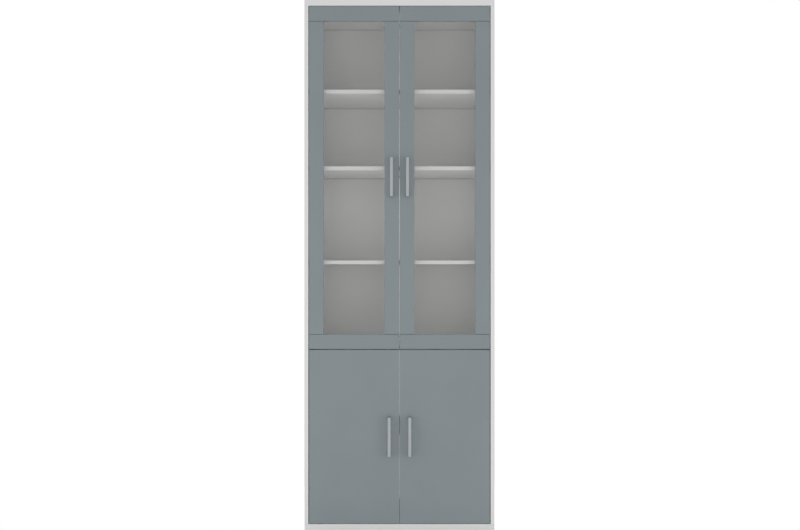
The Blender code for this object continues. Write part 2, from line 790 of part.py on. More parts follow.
def make_carcass():
    recess_reach = INNER + REBATE_WIDTH
    back_recess = as_cutter(
        block(
            "back_recess",
            (-recess_reach, REBATE_FLOOR, BASE_TOP - REBATE_WIDTH),
            (recess_reach, BACK + OVERSHOOT, CEILING + REBATE_WIDTH),
        )
    )
    for word, hand in HANDS.items():
        make_side(word, hand, back_recess)
    make_end_boards(back_recess)
    make_middle_board()
    make_shelves()
    make_back_panel()
    make_glides()
    make_catch("upper_catch", CEILING)
    make_catch("lower_catch", MIDDLE_LOW)
    for word, hand in HANDS.items():
        make_end_pivot(f"{word}_top_pivot", hand, CEILING, "-Z")
        make_end_pivot(f"{word}_bottom_pivot", hand, BASE_TOP, "Z")
        make_middle_pivot(word, hand)


make_carcass()
for hand_word, hand_side in HANDS.items():
    make_upper_door(hand_word, hand_side)
    make_lower_door(hand_word, hand_side)
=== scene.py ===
"""Looks of the tall display cabinet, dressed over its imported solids.

The boards, doors and panes keep their solids and take their finishes here. The handles and their screws
are made again with finer rounding, and the small fittings that the solids leave out are added.
"""

import json
import math

import bmesh
import bpy
from mathutils import Matrix, Vector

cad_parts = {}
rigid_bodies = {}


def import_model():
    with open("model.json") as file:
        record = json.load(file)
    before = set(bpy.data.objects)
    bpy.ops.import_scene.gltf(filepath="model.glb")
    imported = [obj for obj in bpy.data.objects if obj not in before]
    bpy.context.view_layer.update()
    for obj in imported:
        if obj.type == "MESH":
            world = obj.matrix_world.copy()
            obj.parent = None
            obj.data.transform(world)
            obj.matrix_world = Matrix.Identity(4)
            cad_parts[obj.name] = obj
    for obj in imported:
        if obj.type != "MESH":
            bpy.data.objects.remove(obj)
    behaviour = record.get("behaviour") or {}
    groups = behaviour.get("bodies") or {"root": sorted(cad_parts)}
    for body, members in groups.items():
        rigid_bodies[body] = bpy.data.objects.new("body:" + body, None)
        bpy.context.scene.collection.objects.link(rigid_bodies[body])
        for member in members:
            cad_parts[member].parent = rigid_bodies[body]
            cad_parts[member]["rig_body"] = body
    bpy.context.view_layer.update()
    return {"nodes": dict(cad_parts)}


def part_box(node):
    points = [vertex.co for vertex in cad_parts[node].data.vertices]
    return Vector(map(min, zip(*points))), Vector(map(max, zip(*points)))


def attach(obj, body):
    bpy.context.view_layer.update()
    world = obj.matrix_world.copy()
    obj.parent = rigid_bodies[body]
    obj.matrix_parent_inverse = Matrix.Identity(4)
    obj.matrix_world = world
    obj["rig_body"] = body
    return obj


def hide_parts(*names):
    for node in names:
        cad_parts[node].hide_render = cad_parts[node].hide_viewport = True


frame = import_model()

MM = 0.001
QUARTER_TURN = math.radians(90)

# Camera, level and straight on
CAMERA_LENS = 42.2
CAMERA_SENSOR = 36.0
CAMERA_SIDE = 2.2 * MM
CAMERA_HEIGHT = 1107 * MM
CAMERA_DISTANCE = 3897 * MM

# Light
SKY_LIGHT = 0.76
SEEN_WHITE = 1.0
FRONT_LAMP_SIZE = 2.4
FRONT_LAMP_HEIGHT = 0.3
FRONT_LAMP_DISTANCE = 3.0
FRONT_LAMP_POWER = 10.0
SIDE_LAMP_SIZE = 1.6
SIDE_LAMP_REACH = 3.0
SIDE_LAMP_HEIGHT = 0.6
SIDE_LAMP_DISTANCE = 2.2
SIDE_LAMP_POWER = 17.0

# Floor
FLOOR_TONE = 0.85
FLOOR_MOTTLE = 0.04
FLOOR_PITCH = 0.4
FLOOR_ROUGHNESS = 0.9
FLOOR_LIFT = 0.5
FLOOR_REACH = 0.6
FLOOR_DROP = 0.2 * MM

# Sockets of a Mix node for colours
MIX_SHARE = 0
MIX_FIRST = 6
MIX_SECOND = 7
MIX_RESULT = 2

# Noise values between which a finish turns from its dark tone to its light one
NOISE_SPAN = (0.3, 0.7)

# Melamine on the boards
BOARD_WHITE = (0.885, 0.885, 0.88)
BOARD_SHADED = (0.875, 0.875, 0.87)
BOARD_CLOUD = 140 * MM
BOARD_IOR = 1.46
BOARD_ROUGHNESS = 0.44
PEARL_PITCH = 0.7 * MM
PEARL_DEPTH = 0.012 * MM
PEARL_ROUGHNESS = 0.10

# Edge bands on the boards
BAND_WHITE = (0.685, 0.685, 0.686)
# Painted shade: the inner boards' bands are the same white painted darker for the shade inside the
# cabinet
INNER_BAND_PAINTED_SHADE = (0.63, 0.63, 0.626)
BAND_THICKNESS = 0.8 * MM
BAND_FACING = -0.6
BAND_GLOSS = 0.06
BAND_SMOOTHING = 0.7
GLUE_LINE = (0.42, 0.40, 0.37)
GLUE_WIDTH = 0.12 * MM
GLUE_SHARE = 0.5

# Shelf pins and spare holes in the sides
SHELF_CLEARANCE = 1 * MM
PIN_MARGIN = 0.3 * MM
PIN_GLOSS = 0.14
HOLE_MARGIN = 0.7 * MM
HOLE_FACING = 0.5
HOLE_TO_EDGE = 20 * MM
HOLE_ROUGHNESS = 0.4
CHIPBOARD_PALE = (0.46, 0.33, 0.20)
CHIPBOARD_DARK = (0.20, 0.13, 0.07)
CHIP_PITCH = 1.6 * MM

# White front of the back panel
SHEET_WHITE = (0.695, 0.695, 0.692)
SHEET_IOR = 1.46
SHEET_ROUGHNESS = 0.48
SHEET_DEPTH = 0.07 * MM
SHEET_CLOUD = 180 * MM
GRAIN_PITCH = 0.9 * MM
GRAIN_ROUGHNESS = 0.06
GRAIN_SHARE = 0.12

# Painted light: the back panel painted paler towards its top
SHEET_PAINTED_LIGHT = (0.75, 0.75, 0.747)
HIGH_START = 1800 * MM
HIGH_END = 2000 * MM
HIGH_WANDER = 100 * MM

# Painted shade: faint dark lines on the back panel, each just under a board
SHEET_PAINTED_SHADE = (0.45, 0.45, 0.445)
LINE_DROPS = {"top_board": 5 * MM, "upper_shelf_high": 2 * MM, "upper_shelf_middle": 2 * MM}
LINE_REACH = 4 * MM
LINE_CORE = 1.5 * MM
LINE_SHARE = 0.45

# Raw reverse of the back panel
FIBRE_PALE = (0.33, 0.205, 0.115)
FIBRE_DARK = (0.16, 0.088, 0.045)
FIBRE_FACING = -0.5
FIBRE_PITCH = 1.4 * MM
FIBRE_STRETCH = (1.0, 1.0, 0.35)
FIBRE_CLOUD = 60 * MM
FIBRE_CLOUD_SHARE = 0.15
FIBRE_ROUGHNESS = 0.34
SCREEN_PITCH = 1.5 * MM
SCREEN_SHARE = 0.5
FOLD_DARK = (0.03, 0.02, 0.012)
FOLD_REACH = 1.2 * MM
FOLD_CORE = 0.4 * MM

# Lacquer on the doors
PAINT_LIGHT = (0.209, 0.243, 0.256)
PAINT_DEEP = (0.199, 0.232, 0.245)
PAINT_IOR = 1.47
PAINT_ROUGHNESS = 0.36
PAINT_CLOUD = 210 * MM
PAINT_CLOUD_SPAN = (0.25, 0.75)
PAINT_CLOUD_ROUGHNESS = 0.06
PEEL_PITCH = 2.6 * MM
PEEL_DEPTH = 0.012 * MM
MIST_PITCH = 0.35 * MM
MIST_SHARE = 0.25
MIST_ROUGHNESS = 0.10
REVERSE_WHITE = (0.80, 0.80, 0.795)
REVERSE_FACING = 0.5

# Painted light: pale front corners on the meeting edges of the plain doors, for light seen through the
# seam
SEAM_PAINTED_LIGHT = (0.625, 0.665, 0.68)
SEAM_LIGHT_WIDTH = 0.85 * MM
SEAM_LIGHT_DEPTH = 1.5 * MM
# Painted shade: on these stretches the corner is less pale, where the lower shelf and the bottom board
# stand in shadow behind the seam
SEAM_SHADE_STRETCHES = ((32 * MM, 137 * MM), (402 * MM, 480 * MM))
SEAM_SHADE_SHARE = 0.8

# White hinge edge of the plain doors, behind the front corner that the lacquer wraps
HINGE_SKIN = 0.1 * MM
LACQUER_WRAP = 0.5 * MM

# Brushed metal of the handles
NICKEL_LIGHT = (0.425, 0.445, 0.455)
NICKEL_DEEP = (0.34, 0.357, 0.366)
NICKEL_ROUGHNESS = 0.36
NICKEL_METAL = 0.6
BRUSH_STRETCH = (1.0, 1.0, 0.012)
BRUSH_ANISOTROPY = 0.35
BRUSH_PITCH = 0.12 * MM
BRUSH_DEPTH = 0.003 * MM
BRUSH_ROUGHNESS = 0.12
STREAK_PITCH = 1.1 * MM
STREAK_SHARE = 0.4

# Plated steel
ZINC_LIGHT = (0.62, 0.63, 0.65)
ZINC_DEEP = (0.46, 0.47, 0.49)
BLACKENED_LIGHT = (0.075, 0.075, 0.08)
BLACKENED_DEEP = (0.04, 0.04, 0.042)
PLATED_ROUGHNESS = 0.28
SPANGLE_PITCH = 1.2 * MM
SPANGLE_SHARE = 0.5
SPANGLE_ROUGHNESS = 0.16
HAZE_PITCH = 3 * MM
HAZE_DEPTH = 0.01 * MM

# Moulded plastics
MOULDED_IOR = 1.5
SPARK_SHARE = 0.4
SPARK_DEPTH = 0.02 * MM
SPARK_ROUGHNESS = 0.14
FLOW_PITCH = 9 * MM
FLOW_STRETCH = (1.0, 1.0, 0.3)
NYLON_LIGHT = (0.125, 0.125, 0.13)
NYLON_DEEP = (0.085, 0.085, 0.09)
NYLON_GRAIN = 0.4 * MM
NYLON_ROUGHNESS = 0.38
GLIDE_LIGHT = (0.075, 0.075, 0.075)
GLIDE_DEEP = (0.035, 0.035, 0.035)
GLIDE_GRAIN = 0.6 * MM
GLIDE_ROUGHNESS = 0.45
CATCH_LIGHT = (0.72, 0.72, 0.71)
CATCH_DEEP = (0.66, 0.66, 0.65)
CATCH_GRAIN = 0.5 * MM
CATCH_ROUGHNESS = 0.36
BEAD_LIGHT = (0.40, 0.42, 0.43)
BEAD_DEEP = (0.36, 0.38, 0.39)
BEAD_GRAIN = 0.5 * MM
BEAD_ROUGHNESS = 0.42
FERRITE_LIGHT = (0.06, 0.058, 0.056)
FERRITE_DEEP = (0.03, 0.029, 0.028)
FERRITE_GRAIN = 0.3 * MM
FERRITE_ROUGHNESS = 0.5

# Glass of the upper doors
GLASS_CLEAR = (0.984, 0.985, 0.984)
GLASS_BEND = 1.2
GLASS_ROUGHNESS = 0.015
DUST_WHITE = (0.8, 0.8, 0.8)
WIPE_PITCH = 90 * MM
WIPE_STRETCH = (1.0, 1.0, 0.4)
WIPE_SHARE = 0.006
SPECK_PITCH = 2.2 * MM
SPECK_SPAN = (0.72, 0.8)
SPECK_SHARE = 0.02

# Forms: points this close merge, edges this sharp stay, and roundings take so many steps
MERGE_GAP = 0.002 * MM
SHARP_ANGLE = math.radians(32)
ROUND_STEPS = 8
EASED_STEPS = 2

# Handles
BAR_DEPTH = 12 * MM
LEG_HEIGHT = 12 * MM
BAR_EDGE = 0.9 * MM
BAR_EDGE_STEPS = 4

# Screws of the handles
SCREW_SHANK = 2 * MM
SCREW_TIP = 0.4 * MM
SCREW_HEAD = 2.2 * MM
SCREW_RIM = 0.7 * MM
SCREW_SIDES = 40
RECESS_REACH = 4.6 * MM
RECESS_WIDTH = 0.95 * MM
RECESS_DEPTH = 1.3 * MM

# Magnets and pole plates of the catches
MAGNET_SPACING = 28 * MM
MAGNET_WIDTH = 13 * MM
MAGNET_PROUD = 0.05 * MM
MAGNET_EDGE = 0.15 * MM
POLE_HEIGHT = 9 * MM
POLE_PLATE = 1.4 * MM
POLE_PROUD = 0.1 * MM
POLE_SINK = 3 * MM

# Cam covers inside the carcass
COVER_RADIUS = 8.5 * MM
COVER_HEIGHT = 0.9 * MM
COVER_EASE = 0.54 * MM
COVER_SEAT = 0.1 * MM
COVER_SIDES = 48
COVER_TO_END = 34 * MM
COVER_TO_FRONT = 110 * MM

# White strip over the fold down the middle of the back panel
STRIP_WIDTH = 24 * MM
STRIP_RISE = 1.2 * MM
STRIP_SEAT = 0.1 * MM
STRIP_STEPS = 6
STRIP_WHITE = (0.94, 0.94, 0.94)
STRIP_DEEP = (0.92, 0.92, 0.92)
STRIP_IOR = 1.6
STRIP_CLOUD = 30 * MM
STRIP_ROUGHNESS = 0.008
STRIP_CLOUD_ROUGHNESS = 0.008
STRIP_COAT_ROUGHNESS = 0.01

# Nails of the back panel
NAIL_RADIUS = 1.9 * MM
NAIL_HEIGHT = 0.7 * MM
NAIL_RIM = 0.28 * MM
NAIL_STEPS = 6
NAIL_SIDES = 20
NAIL_INSET = 3.5 * MM
NAIL_END_MARGIN = 45 * MM
NAILS_DOWN = 12
NAILS_ACROSS = 5


class Shade:
    """An output in a shader, with the arithmetic that a finish needs."""

    def __init__(self, tree, socket):
        self.tree = tree
        self.socket = socket

    def math(self, operation, *values):
        return self.tree.node("Math", {"operation": operation}, dict(enumerate(values)))

    def __add__(self, other):
        return self.math("ADD", self, other)

    __radd__ = __add__

    def __sub__(self, other):
        return self.math("SUBTRACT", self, other)

    def __rsub__(self, other):
        return self.math("SUBTRACT", other, self)

    def __mul__(self, other):
        return self.math("MULTIPLY", self, other)

    __rmul__ = __mul__

    def __lt__(self, other):
        return self.math("LESS_THAN", self, other)

    def __gt__(self, other):
        return self.math("GREATER_THAN", self, other)

    def __abs__(self):
        return self.math("ABSOLUTE", self)

    def sine(self):
        return self.math("SINE", self)

    def or_else(self, other):
        return self.math("MAXIMUM", self, other)


class Shader:
    """A node tree, and the few ways in which its nodes are added."""

    def __init__(self, tree):
        self.tree = tree

    def node(self, kind, settings=None, inputs=None, output=0):
        """Adds a node: its settings first, then the values or links of its sockets."""
        made = self.tree.nodes.new("ShaderNode" + kind)
        for name, value in (settings or {}).items():
            setattr(made, name, value)
        for key, value in (inputs or {}).items():
            self.feed(made.inputs[key], value)
        return Shade(self, made.outputs[output])

    def feed(self, socket, value):
        """Links a socket to another, or sets its own value."""
        if isinstance(value, Shade):
            self.tree.links.new(value.socket, socket)
        elif socket.type == "RGBA":
            socket.default_value = (*value, 1.0)
        else:
            socket.default_value = value

    def place(self):
        """Where a point lies on the cabinet at rest, in metres."""
        return self.node("TexCoord", output="Object")

    def parts(self, vector):
        """A vector's three numbers."""
        split = self.node("SeparateXYZ", None, {0: vector}).socket.node
        return [Shade(self, output) for output in split.outputs]

    def facing(self):
        """Which way the surface faces on the cabinet at rest."""
        return self.parts(self.node("TexCoord", output="Normal"))

    def stretched(self, vector, factors):
        """A place with its axes scaled, so that a noise is drawn out along the least of them."""
        return self.node("VectorMath", {"operation": "MULTIPLY"}, {0: vector, 1: factors})

    def noise(self, vector, pitch, detail):
        """Noise from 0 to 1 whose grains are about one pitch wide."""
        inputs = {"Vector": vector, "Scale": 1 / pitch, "Detail": detail}
        return self.node("TexNoise", None, inputs)

    def mix(self, share, first, second):
        """A colour between two others."""
        inputs = {MIX_SHARE: share, MIX_FIRST: first, MIX_SECOND: second}
        return self.node("Mix", {"data_type": "RGBA"}, inputs, MIX_RESULT)

    def ramp(self, value, start, end):
        """A soft step from 0 at the start to 1 at the end."""
        inputs = {"Value": value, "From Min": start, "From Max": end}
        return self.node("MapRange", {"interpolation_type": "SMOOTHSTEP"}, inputs)


class Finish(Shader):
    """A material with one surface shader and the detail that feeds it."""

    def __init__(self, name, **numbers):
        self.material = bpy.data.materials.new(name)
        self.material.use_nodes = True
        super().__init__(self.material.node_tree)
        self.surface = self.tree.nodes["Principled BSDF"]
        for key, value in numbers.items():
            self.feed(self.surface.inputs[key.replace("_", " ")], value)

    def give(self, colour, roughness, height=None, depth=0.0, metallic=None):
        """Feeds the surface a colour and a roughness, and where given a relief and a share of metal."""
        self.feed(self.surface.inputs["Base Color"], colour)
        self.feed(self.surface.inputs["Roughness"], roughness)
        if metallic is not None:
            self.feed(self.surface.inputs["Metallic"], metallic)
        if height is not None:
            relief = self.node("Bump", None, {"Height": height, "Distance": depth})
            self.feed(self.surface.inputs["Normal"], relief)
        return self.material


def white_board(name, front, band_white, inner=None, depth_range=None):
    """Melamine-faced board: pearl-grained faces and a smoother band glued on the front edge.

    A side board's shelf pins, which stand out of its inner face, are metal. Its spare holes show
    the raw core.
    """
    finish = Finish(name, IOR=BOARD_IOR)
    place = finish.place()
    across, deep, _ = finish.parts(place)
    face_across, face_deep, _ = finish.facing()
    pearl = finish.noise(place, PEARL_PITCH, detail=1.0)
    cloud = finish.noise(place, BOARD_CLOUD, detail=3.0)
    band = face_deep < BAND_FACING
    glue = finish.ramp(abs(deep - (front + BAND_THICKNESS)), GLUE_WIDTH, 0.0) * (1 - band)
    colour = finish.mix(cloud, BOARD_WHITE, BOARD_SHADED)
    colour = finish.mix(band, colour, band_white)
    colour = finish.mix(GLUE_SHARE * glue, colour, GLUE_LINE)
    roughness = BOARD_ROUGHNESS + PEARL_ROUGHNESS * pearl - BAND_GLOSS * band
    height = pearl * (1 - BAND_SMOOTHING * band)
    metallic = None
    if inner is not None:
        start, end = depth_range
        within = (deep > start) * (deep < end)
        pin = abs(across) < inner - PIN_MARGIN
        hole = (abs(across) > inner + HOLE_MARGIN) * (abs(face_across) < HOLE_FACING) * within
        chips = finish.noise(place, CHIP_PITCH, detail=3.0)
        core = finish.mix(finish.ramp(chips, *NOISE_SPAN), CHIPBOARD_DARK, CHIPBOARD_PALE)
        colour = finish.mix(hole, colour, core)
        colour = finish.mix(pin, colour, ZINC_LIGHT)
        roughness = roughness + HOLE_ROUGHNESS * hole - PIN_GLOSS * pin
        metallic = pin
    return finish.give(colour, roughness, height, PEARL_DEPTH, metallic)


def white_sheet(name):
    """Hardboard: lacquered white in front, raw brown fibre with the print of the press screen behind."""
    finish = Finish(name, IOR=SHEET_IOR)
    place = finish.place()
    across, _, up = finish.parts(place)
    raw = finish.facing()[1] > FIBRE_FACING
    cloud = finish.noise(place, SHEET_CLOUD, detail=3.0)
    grain = finish.noise(place, GRAIN_PITCH, detail=1.0)
    # Painted light: the lacquer is painted paler towards the top of the panel
    painted_light = finish.ramp(up + HIGH_WANDER * cloud, HIGH_START, HIGH_END)
    lacquer = finish.mix(painted_light, SHEET_WHITE, SHEET_PAINTED_LIGHT)
    # Painted shade: a faint dark line painted on the panel just under each board
    for board, drop in LINE_DROPS.items():
        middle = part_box(board)[0].z - drop
        shade_line = finish.ramp(abs(up - middle), LINE_REACH, LINE_CORE)
        lacquer = finish.mix(LINE_SHARE * shade_line, lacquer, SHEET_PAINTED_SHADE)
    strands = finish.noise(finish.stretched(place, FIBRE_STRETCH), FIBRE_PITCH, detail=4.0)
    tone = finish.noise(place, FIBRE_CLOUD, detail=4.0)
    mottle = (1 - FIBRE_CLOUD_SHARE) * strands + FIBRE_CLOUD_SHARE * tone
    fibre = finish.mix(finish.ramp(mottle, *NOISE_SPAN), FIBRE_DARK, FIBRE_PALE)
    fold = finish.ramp(abs(across), FOLD_REACH, FOLD_CORE)
    fibre = finish.mix(fold, fibre, FOLD_DARK)
    turn = math.tau / SCREEN_PITCH
    screen = (across * turn).sine() * (up * turn).sine()
    colour = finish.mix(raw, lacquer, fibre)
    roughness = SHEET_ROUGHNESS + FIBRE_ROUGHNESS * raw + GRAIN_ROUGHNESS * grain
    height = GRAIN_SHARE * grain * (1 - raw) + (SCREEN_SHARE * screen + strands) * raw
    return finish.give(colour, roughness, height, SHEET_DEPTH)


def blue_grey_paint(name, front=None, meeting_edge=None, hinge_edge=None):
    """Satin lacquer on smooth board: a slight peel, a fine mist in the gloss and a barely clouded tone.

    The reverse is white, and so is a plain door's hinge edge. A plain door's front corner at its meeting
    edge is painted pale as painted light, but less so on two stretches, as painted shade.
    """
    finish = Finish(name, IOR=PAINT_IOR)
    place = finish.place()
    peel = finish.noise(place, PEEL_PITCH, detail=1.0)
    mist = finish.noise(place, MIST_PITCH, detail=1.0)
    cloud = finish.noise(place, PAINT_CLOUD, detail=3.0)
    colour = finish.mix(finish.ramp(cloud, *PAINT_CLOUD_SPAN), PAINT_DEEP, PAINT_LIGHT)
    reverse = finish.facing()[1] > REVERSE_FACING
    colour = finish.mix(reverse, colour, REVERSE_WHITE)
    if front is not None:
        across, deep, up = finish.parts(place)
        hinge = (abs(across) > hinge_edge - HINGE_SKIN) * (deep > front + LACQUER_WRAP)
        colour = finish.mix(hinge, colour, REVERSE_WHITE)
        # Painted light: the front corner of the meeting edge is painted pale
        seam_light = (abs(across) < meeting_edge + SEAM_LIGHT_WIDTH) * (deep < front + SEAM_LIGHT_DEPTH)
        # Painted shade: on two stretches the pale corner is painted darker again
        for low, high in SEAM_SHADE_STRETCHES:
            seam_light = seam_light * (1 - SEAM_SHADE_SHARE * (up > low) * (up < high))
        colour = finish.mix(seam_light, colour, SEAM_PAINTED_LIGHT)
    roughness = PAINT_ROUGHNESS + MIST_ROUGHNESS * mist + PAINT_CLOUD_ROUGHNESS * cloud
    return finish.give(colour, roughness, peel + MIST_SHARE * mist, PEEL_DEPTH)


def moulded(name, light, deep, grain, roughness):
    """Moulded plastic: a sparked mould's grain, with faint flow marks in its tone."""
    finish = Finish(name, IOR=MOULDED_IOR)
    place = finish.place()
    spark = finish.noise(place, grain, detail=2.0)
    flow = finish.noise(finish.stretched(place, FLOW_STRETCH), FLOW_PITCH, detail=3.0)
    colour = finish.mix(SPARK_SHARE * spark + (1 - SPARK_SHARE) * flow, deep, light)
    return finish.give(colour, roughness + SPARK_ROUGHNESS * spark, spark, SPARK_DEPTH)


def polished_strip(name):
    """Polished plastic under a clear coat: mirror-smooth, with faint clouds in its tone and gloss."""
    finish = Finish(name, IOR=STRIP_IOR, Coat_Weight=1.0, Coat_Roughness=STRIP_COAT_ROUGHNESS)
    cloud = finish.noise(finish.place(), STRIP_CLOUD, detail=3.0)
    colour = finish.mix(cloud, STRIP_DEEP, STRIP_WHITE)
    return finish.give(colour, STRIP_ROUGHNESS + STRIP_CLOUD_ROUGHNESS * cloud)


def brushed_nickel(name):
    """Metal brushed upright: fine lines in its tone, its gloss and its relief."""
    finish = Finish(name, Anisotropic=BRUSH_ANISOTROPY)
    brushed = finish.stretched(finish.place(), BRUSH_STRETCH)
    lines = finish.noise(brushed, BRUSH_PITCH, detail=3.0)
    streaks = finish.noise(brushed, STREAK_PITCH, detail=2.0)
    tone = (1 - STREAK_SHARE) * lines + STREAK_SHARE * streaks
    colour = finish.mix(finish.ramp(tone, *NOISE_SPAN), NICKEL_DEEP, NICKEL_LIGHT)
    roughness = NICKEL_ROUGHNESS + BRUSH_ROUGHNESS * lines
    return finish.give(colour, roughness, lines, BRUSH_DEPTH, NICKEL_METAL)


def plated_steel(name, light, deep):
    """Zinc-plated or blackened steel: dull crystals in the tone and the gloss."""
    finish = Finish(name)
    place = finish.place()
    crystals = finish.node("TexVoronoi", None, {"Vector": place, "Scale": 1 / SPANGLE_PITCH}, "Color")
    spangle = finish.parts(crystals)[0]
    haze = finish.noise(place, HAZE_PITCH, detail=3.0)
    colour = finish.mix(SPANGLE_SHARE * spangle + (1 - SPANGLE_SHARE) * haze, deep, light)
    return finish.give(colour, PLATED_ROUGHNESS + SPANGLE_ROUGHNESS * spangle, haze, HAZE_DEPTH, 1.0)


def clear_glass(name):
    """Clear float glass with a trace of dust: what isn't mirrored goes straight through.

    Nothing bends in the pane, so both of its faces mirror as if met from outside.
    """
    finish = Finish(name)
    finish.tree.nodes.remove(finish.surface)
    place = finish.place()
    through = finish.node("BsdfTransparent", None, {"Color": GLASS_CLEAR})
    mirror = finish.node("BsdfGlossy", None, {"Roughness": GLASS_ROUGHNESS})
    veil = finish.node("BsdfDiffuse", None, {"Color": DUST_WHITE})
    behind = finish.node("NewGeometry", output="Backfacing")
    bend = GLASS_BEND - behind * (GLASS_BEND - 1 / GLASS_BEND)
    gloss = finish.node("Fresnel", None, {"IOR": bend})
    pane = finish.node("MixShader", None, {0: gloss, 1: through, 2: mirror})
    wipes = finish.noise(finish.stretched(place, WIPE_STRETCH), WIPE_PITCH, detail=5.0)
    specks = finish.ramp(finish.noise(place, SPECK_PITCH, detail=1.0), *SPECK_SPAN)
    dust = WIPE_SHARE * wipes + SPECK_SHARE * specks
    dusty = finish.node("MixShader", None, {0: dust, 1: pane, 2: veil})
    finish.feed(finish.tree.nodes["Material Output"].inputs["Surface"], dusty)
    return finish.material


def make_finishes():
    """The finishes by slot, with two more for fittings. A board's own finish depends on its place."""
    return {
        "white_sheet": white_sheet("white_faced_hardboard"),
        "blue_grey_paint": blue_grey_paint("blue_grey_satin_lacquer"),
        "clear_glass": clear_glass("clear_float_glass"),
        "bead_plastic": moulded(
            "glazing_bead_plastic", BEAD_LIGHT, BEAD_DEEP, BEAD_GRAIN, BEAD_ROUGHNESS
        ),
        "satin_nickel": brushed_nickel("brushed_nickel"),
        "steel": plated_steel("zinc_plated_steel", ZINC_LIGHT, ZINC_DEEP),
        "black_steel": plated_steel("blackened_steel", BLACKENED_LIGHT, BLACKENED_DEEP),
        "nylon": moulded("dark_nylon", NYLON_LIGHT, NYLON_DEEP, NYLON_GRAIN, NYLON_ROUGHNESS),
        "glide_plastic": moulded(
            "black_glide_plastic", GLIDE_LIGHT, GLIDE_DEEP, GLIDE_GRAIN, GLIDE_ROUGHNESS
        ),
        "catch_plastic": moulded(
            "white_catch_plastic", CATCH_LIGHT, CATCH_DEEP, CATCH_GRAIN, CATCH_ROUGHNESS
        ),
        "strip": polished_strip("white_strip_plastic"),
        "magnet": moulded(
            "ferrite_magnet", FERRITE_LIGHT, FERRITE_DEEP, FERRITE_GRAIN, FERRITE_ROUGHNESS
        ),
    }


def cabinet_front():
    """Where the front edges of the sides lie."""
    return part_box("left_side")[0].y


def inner_face():
    """How far the inner faces of the sides stand from the middle: just past the ends of the shelves."""
    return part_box("lower_shelf")[1].x + SHELF_CLEARANCE


def board_finish(name):
    """A board's own finish, with its edge band at its own front edge."""
    low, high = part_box(name)
    look = f"{name}_melamine"
    # The shelves and the middle board take the band white painted darker, as painted shade
    if "shelf" in name or name == "middle_board":
        return white_board(look, low.y, INNER_BAND_PAINTED_SHADE)
    if name not in ("left_side", "right_side"):
        return white_board(look, low.y, BAND_WHITE)
    depth_range = (low.y + HOLE_TO_EDGE, high.y - HOLE_TO_EDGE)
    return white_board(look, low.y, BAND_WHITE, inner_face(), depth_range)


def plain_door_finish(name):
    """A plain door's own finish, with painted light at its meeting edge and white at its hinge edge."""
    low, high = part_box(name)
    meeting_edge, hinge_edge = sorted((abs(low.x), abs(high.x)))
    return blue_grey_paint(f"{name}_satin_lacquer", low.y, meeting_edge, hinge_edge)


def finish_solids(finishes):
    """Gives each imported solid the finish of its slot, or its own where its place matters to it."""
    for name, node in frame["nodes"].items():
        slot = node.material_slots[0].material.name
        if slot == "white_board":
            finish = board_finish(name)
        elif name.endswith("_panel") and slot == "blue_grey_paint":
            finish = plain_door_finish(name)
        else:
            finish = finishes[slot]
        node.material_slots[0].material = finish


def join_facets():
    """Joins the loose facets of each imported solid, so that its finish runs unbroken over a face."""
    for node in frame["nodes"].values():
        joined = node.modifiers.new("joined_facets", "WELD")
        joined.merge_threshold = MERGE_GAP


def body_of(node):
    """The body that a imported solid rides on."""
    return frame["nodes"][node]["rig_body"]


def arc(centre, radius, start, end, steps):
    """Points on an arc in a profile's plane, from one angle to another in degrees."""
    angles = [math.radians(start + (end - start) * step / steps) for step in range(steps + 1)]
    across, up = centre
    return [(across + radius * math.cos(angle), up + radius * math.sin(angle)) for angle in angles]


def crown(radius, base, rise, steps):
    """The flank of a low dome, from its rim to just short of its top, as (radius, height) points."""
    angles = [QUARTER_TURN * step / steps for step in range(steps)]
    return [(radius * math.cos(angle), base + rise * math.sin(angle)) for angle in angles]


def turned(profile, sides, matrix):
    """A body turned about Z from (radius, height) points that start and end on the axis."""
    form = bmesh.new()
    points = [form.verts.new((radius, 0, height)) for radius, height in profile]
    edges = [form.edges.new(pair) for pair in zip(points, points[1:])]
    turn = {"cent": (0, 0, 0), "axis": (0, 0, 1), "angle": math.tau, "steps": sides}
    bmesh.ops.spin(form, geom=points + edges, use_merge=True, **turn)
    bmesh.ops.remove_doubles(form, verts=form.verts, dist=MERGE_GAP)
    bmesh.ops.recalc_face_normals(form, faces=form.faces)
    form.transform(matrix)
    return form


def slab(low, high, edge=0.0):
    """A block between two corners, with its edges eased."""
    form = bmesh.new()
    bmesh.ops.create_cube(form, size=1)
    size = Vector(high) - Vector(low)
    form.transform(Matrix.Translation((Vector(low) + Vector(high)) / 2) @ Matrix.Diagonal((*size, 1)))
    if edge:
        bmesh.ops.bevel(form, geom=form.edges[:], offset=edge, segments=EASED_STEPS, affect="EDGES")
    return form


def extruded(outline, step):
    """A body swept from a flat outline along a step."""
    form = bmesh.new()
    face = form.faces.new([form.verts.new(point) for point in outline])
    grown = bmesh.ops.extrude_face_region(form, geom=[face])
    moved = [item for item in grown["geom"] if isinstance(item, bmesh.types.BMVert)]
    bmesh.ops.translate(form, verts=moved, vec=step)
    bmesh.ops.recalc_face_normals(form, faces=form.faces)
    return form


def gathered(forms):
    """Several separate bodies as one form."""
    whole = bmesh.new()
    for form in forms:
        mesh = bpy.data.meshes.new("gathered")
        form.to_mesh(mesh)
        form.free()
        whole.from_mesh(mesh)
        bpy.data.meshes.remove(mesh)
    return whole


def as_object(name, form):
    """A form as an object in the scene."""
    mesh = bpy.data.meshes.new(name)
    form.to_mesh(mesh)
    form.free()
    piece = bpy.data.objects.new(name, mesh)
    bpy.context.scene.collection.objects.link(piece)
    return piece


